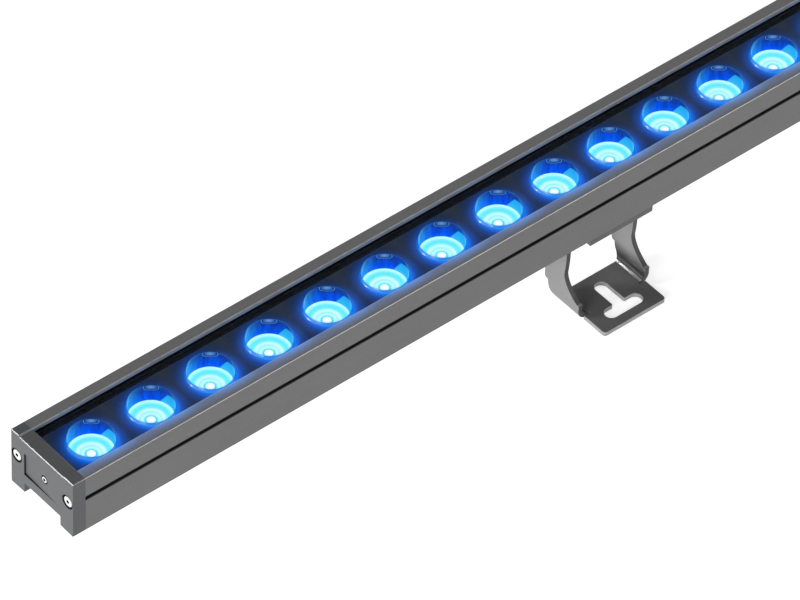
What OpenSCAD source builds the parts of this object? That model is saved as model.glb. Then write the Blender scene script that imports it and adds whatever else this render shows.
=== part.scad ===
// Outdoor wall washer light: an extruded aluminium bar holding a row of lensed
// light sources under a glass cover, carried by two sliding swivel brackets.
// The origin lies on the mounting plane, midway between the two brackets, on
// the line through the centres of their cross slots. X runs along the bar,
// Y from the slots towards the swivel axis, Z up. All sizes in millimetres.

/* [Bar] */
// Number of lenses along the bar
led_count = 24; // [6:1:26]
// Distance from one lens to the next
lens_pitch = 41; // [34:0.5:60]
// Distance from the last lens's centre to the outer face of the end cap
end_distance = 33.5; // [28:0.5:50]
// Width of the bar
housing_w = 54; // [50:0.5:60]
// Height of the bar
housing_h = 40; // [37:0.5:46]
// Width of each flat rim beside the glass
rim_w = 7.4; // [6:0.1:8]
// Width of the channel under the bar
channel_w = 31; // [28:0.5:34]
// Depth of the channel under the bar
channel_d = 6.9; // [5:0.1:7.5]
// Height of the slit along each side
groove_h = 3.1; // [1.5:0.1:4]

/* [End caps] */
// Thickness of each end cap
cap_t = 8.5; // [7:0.1:12]
// Height of the cap screws' centres above the bar's underside
cap_screw_z = 23.4; // [22.5:0.1:24]
// Diameter of a cap screw's head
cap_screw_head_d = 8; // [6.5:0.1:8.2]

/* [Lenses] */
// Outer diameter of a lens
lens_d = 27.4; // [20:0.2:30]
// Thickness of the glass cover
glass_t = 3; // [2.4:0.1:3.4]

/* [Brackets] */
// Distance between the two brackets' centres
bracket_spacing = 225; // [140:5:500]
// Height of the swivel axis above the mounting plane
pivot_h = 57; // [48:0.5:80]
// Distance of the swivel axis behind the cross slots
pivot_y = 29.6; // [26:0.1:40]
// Width over the outer faces of a bracket's arms
bracket_w = 53; // [46:0.5:60]
// Thickness of the bracket's sheet
sheet_t = 3; // [2:0.1:4]
// Width of the mounting slots
slot_w = 8.4; // [5:0.1:10]
// Length of the cross slot from end to end
slot_len = 26.6; // [16:0.2:32]

/* [Cable gland] */
// Diameter of the cable that the gland takes
cable_d = 6.5; // [4:0.1:7.5]
// Diameter of the gland's thread in the end cap
gland_thread_d = 12; // [11:0.5:14]

/* [Hidden] */
$fn = 64;
unit = 1;
eps = 0.02 * unit;

// Clearances
gasket_t = 0.5 * unit;
gasket_inset = 1.4 * unit;
gasket_gap = 0.1 * unit;
body_gap = 0.3 * unit;
slide_gap = 0.1 * unit;
run_gap = 0.05 * unit;
thread_gap = 0.05 * unit;

// Bar section, measured from the bar's lower front edge
edge_r = 0.5 * unit;
side_wall = 2.6 * unit;
web_top = 15.5 * unit;
web_t = 2.1 * unit;
slot_lip_t = 2 * unit;
tslot_mouth_w = 6.8 * unit;
tslot_w = 11 * unit;
tslot_h = 4.5 * unit;
tslot_side_t = 2.3 * unit;
chamber_top = 26 * unit;
ledge_w = 1.6 * unit;
ledge_top = 27.5 * unit;
groove_d = 2 * unit;
groove_z = 24.3 * unit;
boss_r = 3.6 * unit;
port_y = 4.8 * unit;
port_r = 2 * unit;
port_slit_h = 1.6 * unit;
lip_t = 2.8 * unit;
seal_t = 0.8 * unit;
seal_edge_t = 1 * unit;
glass_bite = 1.4 * unit;
seal_skirt_t = 0.6 * unit;
ridge_w = 0.45 * unit;
ridge_d = 0.25 * unit;

section_mid = housing_w / 2;
groove_top = housing_h - lip_t;
groove_bottom = groove_top - glass_t - 2 * seal_t;
glass_bottom = groove_bottom + seal_t;
groove_y = rim_w - glass_bite - seal_edge_t;
glass_y = groove_y + seal_edge_t;
hollow_edge = section_mid - channel_w / 2 - side_wall;
hollow_inner = section_mid - tslot_w / 2 - tslot_side_t;
tslot_floor = channel_d + slot_lip_t;
tslot_roof = tslot_floor + tslot_h;

// Bar along its length
lens_span = (led_count - 1) * lens_pitch;
half_length = lens_span / 2 + end_distance;
half_housing = half_length - cap_t;
bar_y = pivot_y - section_mid;
bar_drop = 10.5 * unit;
bar_z = pivot_h + bar_drop;

// Light unit
board_w = 30 * unit;
board_t = 1.6 * unit;
board_end_gap = 2 * unit;
board_top = web_top + board_t;
plate_t = 1.5 * unit;
plate_side_gap = 0.2 * unit;
plate_hole_gap = 0.4 * unit;
plate_top = ledge_top + plate_t;
lens_top_gap = 0.4 * unit;
lens_h = glass_bottom - lens_top_gap - board_top;
lens_r = lens_d / 2;
lens_rim_r = 0.5 * unit;
lens_flange_w = 1.7 * unit;
lens_flange_t = 1.6 * unit;
lens_foot_inset = 0.5 * unit;
lens_foot_h = 1.4 * unit;
lens_waist_inset = 0.9 * unit;
lens_well_r = 3.5 * unit;
lens_well_h = 4.2 * unit;
lens_dish_d = 0.9 * unit;
lens_curve_shares = [[0.62, 0.2], [0.88, 0.62]];
chip_w = 3.5 * unit;
chip_t = 0.8 * unit;
chip_dome_r = 1.35 * unit;
board_screw_step = 4;
board_screw_y = 11 * unit;
board_screw_r = 1.45 * unit;
board_screw_head_r = 2.75 * unit;
board_screw_head_h = 2 * unit;
board_screw_len = 4.6 * unit;
board_socket_r = 1.15 * unit;
board_socket_d = 1.1 * unit;

// End caps
cap_step_d = 0.65 * unit;
cap_near_block = 8 * unit;
cap_slope_w = 1.1 * unit;
cap_chamfer = 0.5 * unit;
cap_tongue_len = 0.8 * unit;
cap_tongue_t = 2 * unit;
recess_d = 1.2 * unit;
recess_low = 13.8 * unit;
recess_high = 29.6 * unit;
recess_margin = 11.4 * unit;
cap_bore_gap = 0.5 * unit;
cap_bore_d = 4.2 * unit;
cap_screw_r = port_r - thread_gap;
cap_screw_hole_r = port_r + cap_bore_gap / 2;
cap_screw_head_h = 4 * unit;
cap_screw_len = 20 * unit;
cap_socket_r = 1.5 * unit;
cap_socket_d = 2 * unit;
cap_screw_rim = 0.4 * unit;
vent_offset = 1.6 * unit;
vent_y = section_mid - vent_offset;
vent_r = 2.25 * unit;
vent_stem_r = 1.5 * unit;
vent_pocket_r = 2.75 * unit;
vent_pocket_d = 1.6 * unit;
vent_head_t = 1.3 * unit;
vent_hole_r = 0.5 * unit;

// Cable gland
gland_r = gland_thread_d / 2;
gland_hex_r = gland_r + 2.6 * unit;
gland_hex_t = 4 * unit;
gland_neck_r = gland_r - 0.3 * unit;
gland_neck_len = 6 * unit;
gland_nut_gap = 0.3 * unit;
gland_nut_len = 10 * unit;
gland_dome_len = 5.7 * unit;
gland_mouth_r = cable_d / 2 + 1.2 * unit;
gland_wall = 1.3 * unit;
gland_bore_r = cable_d / 2 + 0.35 * unit;
insert_r = cable_d / 2 + 0.9 * unit;
insert_len = 7 * unit;

// Swivel brackets, measured from the mounting plane
bend_r = 7 * unit;
tongue_w = 46 * unit;
foot_front = 20.9 * unit;
foot_back = 0.3 * unit;
tongue_reach = 10.4 * unit;
tongue_corner_r = 2 * unit;
relief_w = 1.2 * unit;
relief_bite = 1 * unit;
stem_end_y = 23.2 * unit;
slot_fillet = 1 * unit;
head_r = 8.7 * unit;
curve_steps = 12;
toe = [-19.2 * unit, 11.2 * unit];
neck = [-7.5 * unit, 26.6 * unit];
shoulder_drop = 11 * unit;
heel = [8.8 * unit, 15.5 * unit];
ankle = [6.1 * unit, 12.9 * unit];
calf_shares = [[0.4, 0.18], [0.98, 0.6]];
neck_shares = [[0.08, 0.18], [1, 0.33]];
heel_shares = [[0, 0.73], [0.19, 1]];
ankle_shares = [[0.03, 0.35], [0.28, 0.81]];

arm_x = bracket_w / 2;
arm_inner_x = arm_x - sheet_t;

// Hinge plates under the bar
ear_x = arm_inner_x - body_gap;
hinge_t = 3 * unit;
hinge_inner_x = ear_x - hinge_t;
hinge_inset = 3.2 * unit;
hinge_half_y = section_mid - hinge_inset;
hinge_skirt_h = 8.2 * unit;
hinge_hat_y = channel_w / 2 - body_gap;
hinge_top = bar_z - slide_gap;
hat_top = bar_z + channel_d - slide_gap;
ear_r = 8.7 * unit;
clamp_x = 10 * unit;
clamp_r = 3 * unit;
clamp_hole_gap = 0.3 * unit;
clamp_head_r = 5 * unit;
clamp_head_h = 4 * unit;
clamp_socket_r = 2.9 * unit;
clamp_socket_d = 2.4 * unit;
nut_gap = 0.4 * unit;
nut_len = 10 * unit;
nut_h = 3.6 * unit;

// Swivel bolts
pivot_r = 3 * unit;
pivot_washer_r = 6 * unit;
pivot_washer_t = 1.2 * unit;
pivot_head_r = 5.2 * unit;
pivot_head_t = 3.4 * unit;
pivot_socket_r = 2.3 * unit;
pivot_socket_d = 2 * unit;
pivot_nut_r = 5.77 * unit;
pivot_nut_t = 5 * unit;
pivot_tail = 1.2 * unit;

// Colours
metal_grey = [0.45, 0.45, 0.46];
cap_grey = [0.42, 0.42, 0.44];
bracket_grey = [0.53, 0.53, 0.54];
steel = [0.86, 0.86, 0.87];
black_rubber = [0.06, 0.06, 0.06];
plate_black = [0.12, 0.13, 0.15];
clear_glass = [0.75, 0.85, 0.9, 0.35];
lens_blue = [0.2, 0.55, 1, 0.75];
chip_yellow = [0.95, 0.9, 0.6];
board_white = [0.9, 0.9, 0.88];

function two_digits(n) = n < 10 ? str("0", n) : str(n);
function lens_node(i) = str("lens_", two_digits(i + 1));
function lens_x(i) = i * lens_pitch - lens_span / 2;
function side_name(s) = s < 0 ? "a" : "b";
function bezier_point(p, t) =
    pow(1 - t, 3) * p[0] + 3 * pow(1 - t, 2) * t * p[1]
    + 3 * (1 - t) * pow(t, 2) * p[2] + pow(t, 3) * p[3];
function between(a, b, share) = [a[0] + share[0] * (b[0] - a[0]), a[1] + share[1] * (b[1] - a[1])];
function curve(a, b, shares) =
    let (p = [a, between(a, b, shares[0]), between(a, b, shares[1]), b])
    [for (k = [0 : curve_steps]) bezier_point(p, k / curve_steps)];
function reversed(list) = [for (k = [len(list) - 1 : -1 : 0]) list[k]];

// Part to draw, or all of them

// Square with rounded corners, its lower left corner at the origin
module rounded_square(w, h, r) {
    translate([r, 0]) square([w - 2 * r, h]);
    translate([0, r]) square([w, h - 2 * r]);
    for (x = [r, w - r], y = [r, h - r]) {
        translate([x, y]) circle(r = r);
    }
}

// Copies a 2D shape to both sides of the bar's section
module both_sides() {
    children();
    translate([housing_w, 0]) mirror([1, 0]) children();
}

// Stands a section up across the bar and runs it from x0 to x1
module along_bar(x0, x1) {
    translate([x0, bar_y, bar_z])
        rotate([90, 0, 90])
            linear_extrude(x1 - x0)
                children();
}

// Turns the near end's shape round to the far end
module at_end(side) {
    translate([0, pivot_y, bar_z])
        rotate([0, 0, side < 0 ? 0 : 180])
            translate([-half_length, -section_mid, 0])
                children();
}

// Cylinder along X, starting at the origin
module rod_x(r, l) {
    rotate([0, 90, 0]) cylinder(r = r, h = l);
}

// Six-sided prism along X, starting at the origin
module hex_x(r, l) {
    rotate([0, 90, 0]) cylinder(r = r, h = l, $fn = 6);
}

module housing_hollows() {
    // Room for the lens plate, the glass and its seals
    translate([rim_w, ledge_top]) square([housing_w - 2 * rim_w, housing_h]);
    both_sides() {
        translate([groove_y, groove_bottom])
            square([section_mid - groove_y, groove_top - groove_bottom]);
    }
    ledge_y = rim_w + ledge_w;
    translate([ledge_y, web_top])
        square([housing_w - 2 * ledge_y, housing_h - web_top]);
    // Light chamber with the screw ports at its sides
    difference() {
        translate([side_wall, web_top])
            square([housing_w - 2 * side_wall, chamber_top - web_top]);
        both_sides() {
            translate([port_y, cap_screw_z]) circle(r = boss_r);
        }
    }
    both_sides() {
        translate([port_y, cap_screw_z]) circle(r = port_r);
        translate([port_y, cap_screw_z - port_slit_h / 2])
            square([boss_r + eps, port_slit_h]);
        // Slit along the outer side
        translate([-eps, groove_z - groove_h / 2]) square([groove_d + eps, groove_h]);
        // Hollow legs
        translate([side_wall, side_wall])
            square([hollow_edge - side_wall, web_top - web_t - side_wall]);
        translate([side_wall, tslot_floor])
            square([hollow_inner - side_wall, web_top - web_t - tslot_floor]);
        // Fine line along the inner edge of the rim
        translate([rim_w - ridge_w, housing_h - ridge_d])
            square([ridge_w + eps, ridge_d + eps]);
    }
    // Channel and T slot for the brackets
    translate([section_mid - channel_w / 2, -eps]) square([channel_w, channel_d + eps]);
    translate([section_mid - tslot_mouth_w / 2, 0]) square([tslot_mouth_w, tslot_roof]);
    translate([section_mid - tslot_w / 2, tslot_floor]) square([tslot_w, tslot_h]);
}

module housing() {
    color(metal_grey)
        along_bar(-half_housing, half_housing)
            difference() {
                rounded_square(housing_w, housing_h, edge_r);
                housing_hollows();
            }
}

// Outline of the bar's end with the channel left open
module end_outline(inset) {
    difference() {
        translate([inset, inset])
            rounded_square(housing_w - 2 * inset, housing_h - 2 * inset, edge_r);
        translate([section_mid - channel_w / 2 - inset, -eps])
            square([channel_w + 2 * inset, channel_d + inset + eps]);
    }
}

// Outline of the cap with its lowered middle
module cap_outline() {
    far_y = housing_w - rim_w;
    difference() {
        end_outline(0);
        polygon([
            [cap_near_block, housing_h + eps],
            [cap_near_block, housing_h - cap_step_d],
            [far_y - eps, housing_h - cap_step_d],
            [far_y + cap_slope_w, housing_h + eps]
        ]);
    }
}

// Bevel along the cap's outer top edge, from y0 to y1 at height z
module top_bevel(z, y0, y1) {
    translate([0, y0, z])
        rotate([0, 45, 0])
            translate([-cap_chamfer / 2, 0, -cap_chamfer / 2])
                cube([cap_chamfer, y1 - y0, cap_chamfer]);
}

// Outline of the gasket, which stays below the glass's top seal
module gasket_outline(grow) {
    intersection() {
        end_outline(gasket_inset - grow);
        square([housing_w, groove_top + grow]);
    }
}

module end_cap(recessed, hole_r) {
    difference() {
        union() {
            rotate([90, 0, 90]) linear_extrude(cap_t) cap_outline();
            // Tongue reaching over the end of the glass
            translate([cap_t - eps, rim_w + body_gap, groove_top + body_gap])
                cube([
                    cap_tongue_len + eps,
                    housing_w - 2 * (rim_w + body_gap),
                    cap_tongue_t
                ]);
        }
        top_bevel(housing_h, -eps, cap_near_block);
        top_bevel(housing_h - cap_step_d, cap_near_block - eps, housing_w - rim_w);
        top_bevel(housing_h, housing_w - rim_w, housing_w + eps);
        translate([cap_t - gasket_t, 0, 0])
            rotate([90, 0, 90])
                linear_extrude(gasket_t + eps)
                    gasket_outline(gasket_gap);
        if (recessed) {
            translate([0, 0, recess_low])
                linear_extrude(recess_high - recess_low)
                    polygon([
                        [-eps, recess_margin],
                        [-eps, housing_w - recess_margin],
                        [recess_d, housing_w - recess_margin],
                        [0, recess_margin]
                    ]);
        }
        for (y = [port_y, housing_w - port_y]) {
            translate([-eps, y, cap_screw_z]) {
                rod_x(cap_screw_head_d / 2 + cap_bore_gap, cap_bore_d + eps);
                rod_x(cap_screw_hole_r, cap_t + 2 * eps);
            }
        }
        translate([-eps, recessed ? vent_y : section_mid, cap_screw_z])
            rod_x(hole_r, cap_t + 2 * eps);
        if (recessed) {
            translate([-eps, vent_y, cap_screw_z])
                rod_x(vent_pocket_r, vent_pocket_d + eps);
        }
    }
}

module end_cap_near() {
    color(cap_grey) at_end(-1) end_cap(true, vent_stem_r + thread_gap);
}

module end_cap_far() {
    color(cap_grey) at_end(1) end_cap(false, gland_r + thread_gap);
}

module end_gasket() {
    translate([cap_t - gasket_t, 0, 0])
        difference() {
            rotate([90, 0, 90]) linear_extrude(gasket_t) gasket_outline(0);
            for (y = [port_y, housing_w - port_y]) {
                translate([-eps, y, cap_screw_z])
                    rod_x(cap_screw_hole_r, gasket_t + 2 * eps);
            }
            translate([-eps, section_mid, cap_screw_z])
                rod_x(gland_r + body_gap, gasket_t + 2 * eps);
        }
}

module end_gasket_near() {
    color(black_rubber) at_end(-1) end_gasket();
}

module end_gasket_far() {
    color(black_rubber) at_end(1) end_gasket();
}

// Socket head screw along X with the top of its head at the origin
module cap_screw() {
    difference() {
        union() {
            rotate([0, 90, 0])
                rotate_extrude()
                    polygon([
                        [0, 0],
                        [cap_screw_head_d / 2 - cap_screw_rim, 0],
                        [cap_screw_head_d / 2, cap_screw_rim],
                        [cap_screw_head_d / 2, cap_screw_head_h],
                        [0, cap_screw_head_h]
                    ]);
            rod_x(cap_screw_r, cap_screw_head_h + cap_screw_len);
        }
        translate([-eps, 0, 0]) hex_x(cap_socket_r, cap_socket_d + eps);
    }
}

module cap_screws() {
    color(steel)
        for (side = [-1, 1], y = [port_y, housing_w - port_y]) {
            at_end(side)
                translate([cap_bore_d - cap_screw_head_h, y, cap_screw_z])
                    cap_screw();
        }
}

module vent_plug() {
    color(steel)
        at_end(-1)
            translate([vent_pocket_d - vent_head_t, vent_y, cap_screw_z])
                difference() {
                    union() {
                        rod_x(vent_r, vent_head_t);
                        rod_x(vent_stem_r, vent_head_t + cap_t - vent_pocket_d);
                    }
                    translate([-eps, 0, 0]) rod_x(vent_hole_r, vent_head_t);
                }
}

// Places a gland piece on the far cap, pointing away from the bar
module at_gland() {
    translate([half_length, pivot_y, bar_z + cap_screw_z]) children();
}

module gland_body() {
    color(black_rubber)
        at_gland()
            difference() {
                union() {
                    translate([-cap_t, 0, 0]) rod_x(gland_r, cap_t + eps);
                    hex_x(gland_hex_r, gland_hex_t);
                    rod_x(gland_neck_r, gland_hex_t + gland_neck_len);
                }
                translate([-cap_t - eps, 0, 0])
                    rod_x(gland_bore_r, cap_t + gland_hex_t + gland_neck_len);
                translate([gland_hex_t + gland_neck_len - insert_len / 2, 0, 0])
                    rod_x(insert_r, insert_len);
            }
}

module gland_nut() {
    nut_x = gland_hex_t + gland_nut_gap;
    dome_r = gland_hex_r * cos(30) - eps;
    color(black_rubber)
        at_gland()
            translate([nut_x, 0, 0])
                difference() {
                    union() {
                        hex_x(gland_hex_r, gland_nut_len);
                        translate([gland_nut_len - eps, 0, 0])
                            rotate([0, 90, 0])
                                rotate_extrude()
                                    polygon([
                                        [0, 0],
                                        [dome_r, 0],
                                        [dome_r - gland_wall / 2, gland_dome_len / 2],
                                        [gland_mouth_r + gland_wall, gland_dome_len],
                                        [0, gland_dome_len]
                                    ]);
                    }
                    translate([-eps, 0, 0])
                        rod_x(gland_neck_r + thread_gap, gland_nut_len);
                    rod_x(gland_mouth_r, gland_nut_len + gland_dome_len + eps);
                }
}

module gland_insert() {
    color(black_rubber)
        at_gland()
            translate([gland_hex_t + gland_neck_len - insert_len / 2, 0, 0])
                difference() {
                    rod_x(insert_r, insert_len);
                    translate([-eps, 0, 0]) rod_x(cable_d / 2, insert_len + 2 * eps);
                }
}

module cover_glass() {
    color(clear_glass)
        along_bar(-half_housing, half_housing)
            translate([glass_y, glass_bottom])
                square([housing_w - 2 * glass_y, glass_t]);
}

// Seal strips round the glass's long edges, with a skirt down to the lens plate
module glass_seals() {
    skirt_y = rim_w + seal_skirt_t;
    glass_top = glass_bottom + glass_t;
    color(black_rubber)
        along_bar(-half_housing, half_housing)
            both_sides()
                polygon([
                    [groove_y, groove_bottom],
                    [rim_w, groove_bottom],
                    [rim_w, plate_top],
                    [skirt_y, plate_top],
                    [skirt_y, glass_bottom],
                    [glass_y, glass_bottom],
                    [glass_y, glass_top],
                    [rim_w, glass_top],
                    [rim_w, groove_top],
                    [groove_y, groove_top]
                ]);
}

module lens_plate() {
    color(plate_black)
        difference() {
            along_bar(-half_housing + body_gap, half_housing - body_gap)
                translate([rim_w + plate_side_gap, ledge_top])
                    square([housing_w - 2 * (rim_w + plate_side_gap), plate_t]);
            for (i = [0 : led_count - 1]) {
                translate([lens_x(i), pivot_y, bar_z + ledge_top - eps])
                    cylinder(r = lens_r + plate_hole_gap, h = plate_t + 2 * eps);
            }
        }
}

module circuit_board() {
    color(board_white)
        difference() {
            along_bar(-half_housing + board_end_gap, half_housing - board_end_gap)
                translate([section_mid - board_w / 2, web_top])
                    square([board_w, board_t]);
            at_board_screws()
                translate([0, 0, -board_t - eps])
                    cylinder(r = board_screw_r + body_gap / 2, h = board_t + 2 * eps);
        }
}

// Places children on the board's top beside every few lenses
module at_board_screws() {
    for (i = [0 : board_screw_step : led_count - 2], s = [-1, 1]) {
        translate([lens_x(i) + lens_pitch / 2, pivot_y + s * board_screw_y, bar_z + board_top])
            children();
    }
}

module board_screws() {
    color(steel)
        at_board_screws()
            difference() {
                union() {
                    cylinder(r = board_screw_head_r, h = board_screw_head_h);
                    translate([0, 0, -board_t])
                        cylinder(r = board_screw_r, h = board_t + eps);
                }
                translate([0, 0, board_screw_head_h - board_socket_d])
                    cylinder(r = board_socket_r, h = board_socket_d + eps, $fn = 6);
            }
}

module light_chips() {
    color(chip_yellow)
        for (i = [0 : led_count - 1]) {
            translate([lens_x(i), pivot_y, bar_z + board_top]) {
                translate([-chip_w / 2, -chip_w / 2, 0]) cube([chip_w, chip_w, chip_t]);
                intersection() {
                    translate([0, 0, chip_t - eps]) sphere(r = chip_dome_r);
                    translate([0, 0, chip_dome_r]) cube(2 * chip_dome_r, center = true);
                }
            }
        }
}

// Moulded lens standing on the board and reaching up through the plate
module lens(i) {
    flange_z = ledge_top - board_top;
    flange_r = min(lens_r + lens_flange_w, lens_pitch / 2 - body_gap);
    under_z = flange_z - lens_flange_t;
    foot_r = lens_r - lens_foot_inset;
    waist_r = lens_r - lens_waist_inset;
    flank = curve([waist_r, lens_foot_h], [lens_r, under_z], lens_curve_shares);
    color(lens_blue)
        translate([lens_x(i), pivot_y, bar_z + board_top])
            rotate_extrude()
                polygon(concat(
                    [[lens_well_r, 0], [foot_r, 0], [foot_r, lens_foot_h]],
                    flank,
                    [
                        [flange_r, under_z],
                        [flange_r, flange_z],
                        [lens_r, flange_z],
                        [lens_r, lens_h - lens_rim_r],
                        [lens_r - lens_rim_r, lens_h],
                        [lens_well_r, lens_h - lens_dish_d],
                        [0, lens_h - lens_dish_d],
                        [0, lens_well_h + lens_rim_r],
                        [lens_well_r, lens_well_h]
                    ]
                ));
}

// Outline of an arm seen along the bar, with the swivel axis at y = 0
module arm_outline() {
    shoulder = [-head_r, pivot_h - shoulder_drop];
    difference() {
        union() {
            polygon(concat(
                [[-foot_front, 0], [-foot_front, toe[1]]],
                curve(toe, neck, calf_shares),
                curve(neck, shoulder, neck_shares),
                [[-head_r, pivot_h], [head_r, pivot_h]],
                curve(heel, ankle, heel_shares),
                curve(ankle, [foot_back, sheet_t], ankle_shares),
                [[foot_back, 0]]
            ));
            translate([0, pivot_h]) circle(r = head_r);
        }
        translate([0, pivot_h]) circle(r = pivot_r + run_gap);
    }
}

// U-shaped bent sheet seen across the arms
module bent_sheet_outline() {
    difference() {
        translate([-arm_x, 0]) bend_shape(bracket_w, bend_r);
        translate([-arm_inner_x, sheet_t]) bend_shape(2 * arm_inner_x, bend_r - sheet_t);
    }
}

module bend_shape(w, r) {
    h = 2 * pivot_h;
    translate([r, 0]) square([w - 2 * r, h]);
    translate([0, r]) square([w, h]);
    for (x = [r, w - r]) {
        translate([x, r]) circle(r = r);
    }
}

// Flat tongue with rounded front corners
module tongue_outline() {
    r = tongue_corner_r;
    back = pivot_y - foot_front - relief_w;
    difference() {
        union() {
            translate([-tongue_w / 2, r - tongue_reach]) square([tongue_w, back + tongue_reach - r]);
            translate([r - tongue_w / 2, -tongue_reach]) square([tongue_w - 2 * r, 2 * r]);
            for (s = [-1, 1]) {
                translate([s * (tongue_w / 2 - r), r - tongue_reach]) circle(r = r);
            }
            // Neck between the relief notches
            neck_w = bracket_w - 2 * bend_r - 2 * relief_bite;
            translate([-neck_w / 2, back - eps]) square([neck_w, 2 * relief_w]);
        }
    }
}

// T-shaped mounting slot around the origin
module slot_outline() {
    r = slot_w / 2;
    reach = slot_len / 2 - r;
    translate([-reach, -r]) square([2 * reach, slot_w]);
    for (s = [-1, 1]) {
        translate([s * reach, 0]) circle(r = r);
    }
    translate([-r, 0]) square([slot_w, stem_end_y - r]);
    translate([0, stem_end_y - r]) circle(r = r);
    // Rounded corners where the two slots meet
    for (s = [-1, 1]) {
        difference() {
            translate([s < 0 ? -r - slot_fillet : r - eps, r - eps])
                square([slot_fillet + eps, slot_fillet + eps]);
            translate([s * (r + slot_fillet), r + slot_fillet]) circle(r = slot_fillet);
        }
    }
}

module swivel_bracket(side) {
    color(bracket_grey)
        translate([side * bracket_spacing / 2, 0, 0])
            difference() {
                union() {
                    intersection() {
                        translate([0, pivot_y + foot_front + pivot_h, 0])
                            rotate([90, 0, 0])
                                linear_extrude(2 * (foot_front + pivot_h))
                                    bent_sheet_outline();
                        translate([-bracket_w, pivot_y, 0])
                            rotate([90, 0, 90])
                                linear_extrude(2 * bracket_w)
                                    arm_outline();
                    }
                    linear_extrude(sheet_t) tongue_outline();
                }
                translate([0, 0, -eps]) linear_extrude(sheet_t + 2 * eps) slot_outline();
            }
}

// Hat-shaped sheet seen along the bar, with the swivel axis at y = 0
module hat_outline() {
    top = hat_top - pivot_h;
    low = hinge_top - pivot_h;
    skirt = low - hinge_skirt_h + slide_gap;
    half = [
        [hinge_hat_y, top],
        [hinge_hat_y, low],
        [hinge_half_y, low],
        [hinge_half_y, skirt],
        [hinge_half_y - hinge_t, skirt],
        [hinge_half_y - hinge_t, low - hinge_t],
        [hinge_hat_y - hinge_t, low - hinge_t],
        [hinge_hat_y - hinge_t, top - hinge_t]
    ];
    polygon(concat(half, reversed([for (q = half) [-q[0], q[1]]])));
}

module hinge_plate(side) {
    ear_top = hat_top - pivot_h;
    color(metal_grey)
        translate([side * bracket_spacing / 2, pivot_y, pivot_h])
            difference() {
                union() {
                    translate([-ear_x, 0, 0])
                        rotate([90, 0, 90])
                            linear_extrude(2 * ear_x)
                                hat_outline();
                    for (x = [-ear_x, hinge_inner_x]) {
                        translate([x, 0, 0]) {
                            rod_x(ear_r, hinge_t);
                            translate([0, -ear_r, 0]) cube([hinge_t, 2 * ear_r, ear_top]);
                        }
                    }
                }
                translate([-ear_x - eps, 0, 0]) rod_x(pivot_r + run_gap, 2 * (ear_x + eps));
                for (x = [-clamp_x, clamp_x]) {
                    translate([x, 0, ear_top - 2 * hinge_t])
                        cylinder(r = clamp_r + clamp_hole_gap, h = 3 * hinge_t);
                }
            }
}

module clamp_screws(side) {
    plate_under = hat_top - hinge_t;
    reach = hinge_t + slide_gap + slot_lip_t + slide_gap + nut_h;
    color(steel)
        for (x = [-clamp_x, clamp_x]) {
            translate([side * bracket_spacing / 2 + x, pivot_y, plate_under])
                difference() {
                    union() {
                        translate([0, 0, -clamp_head_h])
                            cylinder(r = clamp_head_r, h = clamp_head_h);
                        cylinder(r = clamp_r, h = reach);
                    }
                    translate([0, 0, -clamp_head_h - eps])
                        cylinder(r = clamp_socket_r, h = clamp_socket_d + eps, $fn = 6);
                }
        }
}

module slot_nuts(side) {
    w = tslot_w - 2 * nut_gap;
    color(steel)
        for (x = [-clamp_x, clamp_x]) {
            translate([side * bracket_spacing / 2 + x, pivot_y, bar_z + tslot_floor + slide_gap])
                difference() {
                    translate([-nut_len / 2, -w / 2, 0]) cube([nut_len, w, nut_h]);
                    translate([0, 0, -eps])
                        cylinder(r = clamp_r + thread_gap, h = nut_h + 2 * eps);
                }
        }
}

// Places a piece of the swivel joint at the outer face of each arm, pointing inwards
module at_pivots(side) {
    for (s = [-1, 1]) {
        translate([side * bracket_spacing / 2, pivot_y, pivot_h])
            rotate([0, 0, s < 0 ? 0 : 180])
                translate([-arm_x - body_gap, 0, 0])
                    children();
    }
}

module pivot_washers(side) {
    color(steel)
        at_pivots(side)
            translate([-pivot_washer_t, 0, 0])
                difference() {
                    rod_x(pivot_washer_r, pivot_washer_t);
                    translate([-eps, 0, 0])
                        rod_x(pivot_r + thread_gap, pivot_washer_t + 2 * eps);
                }
}

module pivot_bolts(side) {
    through = body_gap + sheet_t + body_gap + hinge_t + pivot_nut_t + pivot_tail;
    color(steel)
        at_pivots(side)
            translate([-pivot_washer_t - pivot_head_t, 0, 0])
                difference() {
                    union() {
                        rod_x(pivot_head_r, pivot_head_t);
                        rod_x(pivot_r, pivot_head_t + pivot_washer_t + through);
                    }
                    translate([-eps, 0, 0]) hex_x(pivot_socket_r, pivot_socket_d + eps);
                }
}

module pivot_nuts(side) {
    color(steel)
        at_pivots(side)
            translate([body_gap + sheet_t + body_gap + hinge_t, 0, 0])
                difference() {
                    hex_x(pivot_nut_r, pivot_nut_t);
                    translate([-eps, 0, 0]) rod_x(pivot_r + thread_gap, pivot_nut_t + 2 * eps);
                }
}

housing();
end_cap_near();
end_cap_far();
end_gasket_near();
end_gasket_far();
cap_screws();
vent_plug();
gland_body();
gland_nut();
gland_insert();
cover_glass();
glass_seals();
lens_plate();
circuit_board();
light_chips();
board_screws();
for (i = [0 : led_count - 1]) {
    lens(i);
}
for (s = [-1, 1]) {
    swivel_bracket(s);
    hinge_plate(s);
    clamp_screws(s);
    slot_nuts(s);
    pivot_bolts(s);
    pivot_washers(s);
    pivot_nuts(s);
}
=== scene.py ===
import math
import bpy
import bmesh
from mathutils import Matrix, Vector


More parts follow.
